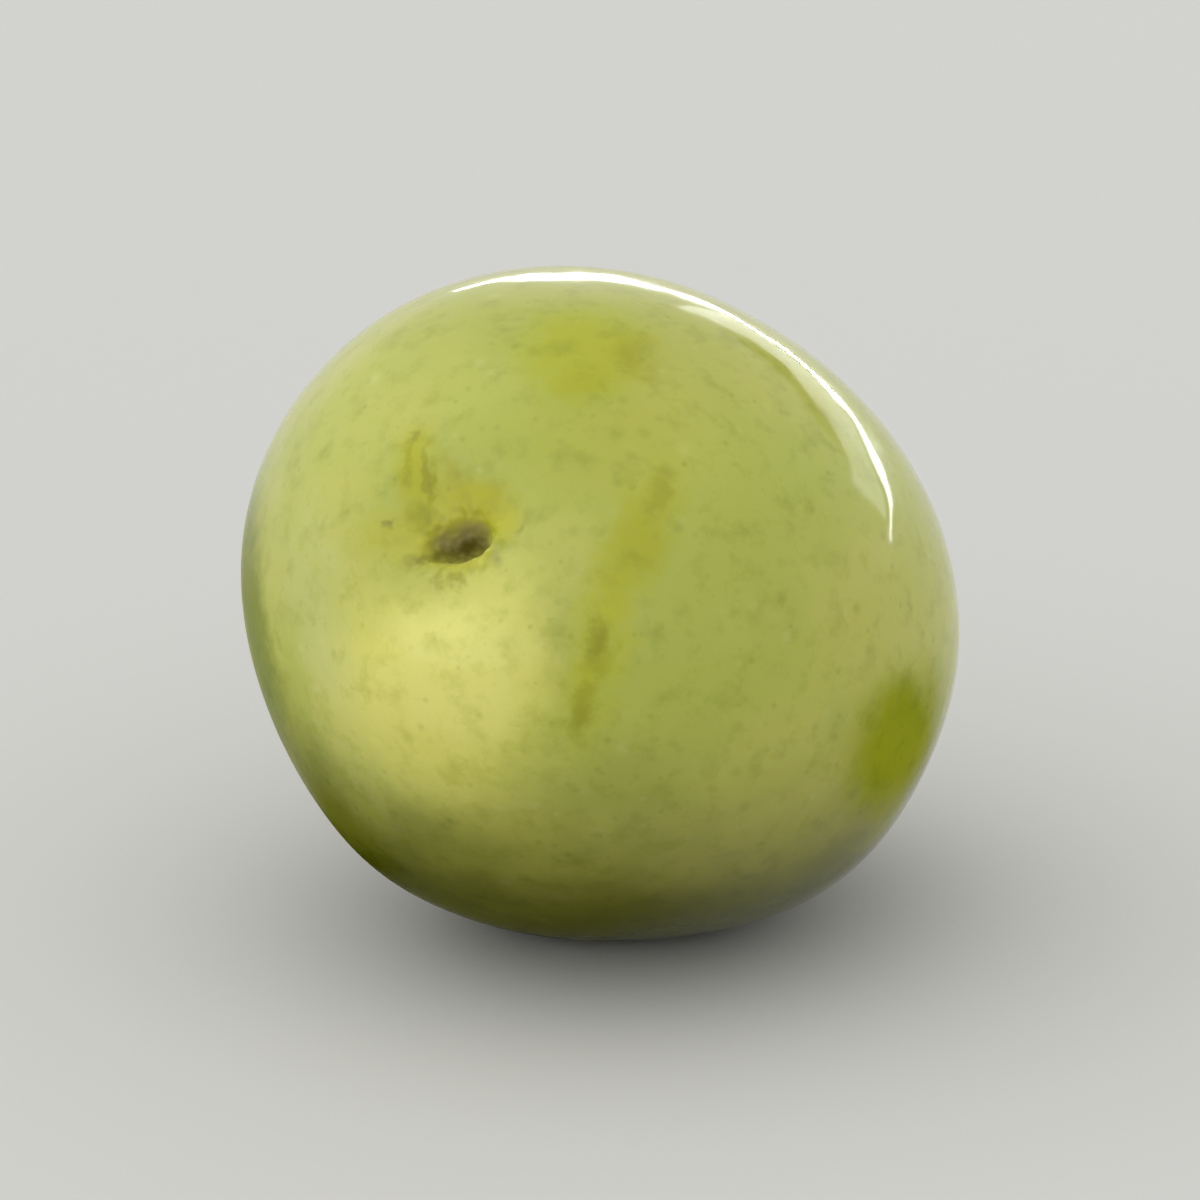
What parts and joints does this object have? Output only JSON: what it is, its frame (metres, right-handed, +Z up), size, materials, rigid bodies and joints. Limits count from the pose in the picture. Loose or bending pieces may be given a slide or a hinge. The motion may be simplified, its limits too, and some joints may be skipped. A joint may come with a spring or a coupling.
{
  "type": "green olive",
  "caption": "Plump oval green table olive in one solid, with a stem pit at one end, a blunt point at the other and a small flat spot that it rests on.",
  "frame": {"origin": "middle of the small flat spot that the olive rests on", "axes": "+Z up from the surface it rests on; the stem end points towards -Y, 26.5 degrees round towards -X and 29 degrees up, as the picture shows it; +X to the viewer's right"},
  "size_m": [0.0228, 0.024, 0.0216],
  "materials": {
    "skin": "gloss"
  },
  "bodies": {
    "root": {"olive": "skin"}
  },
  "joints": []
}
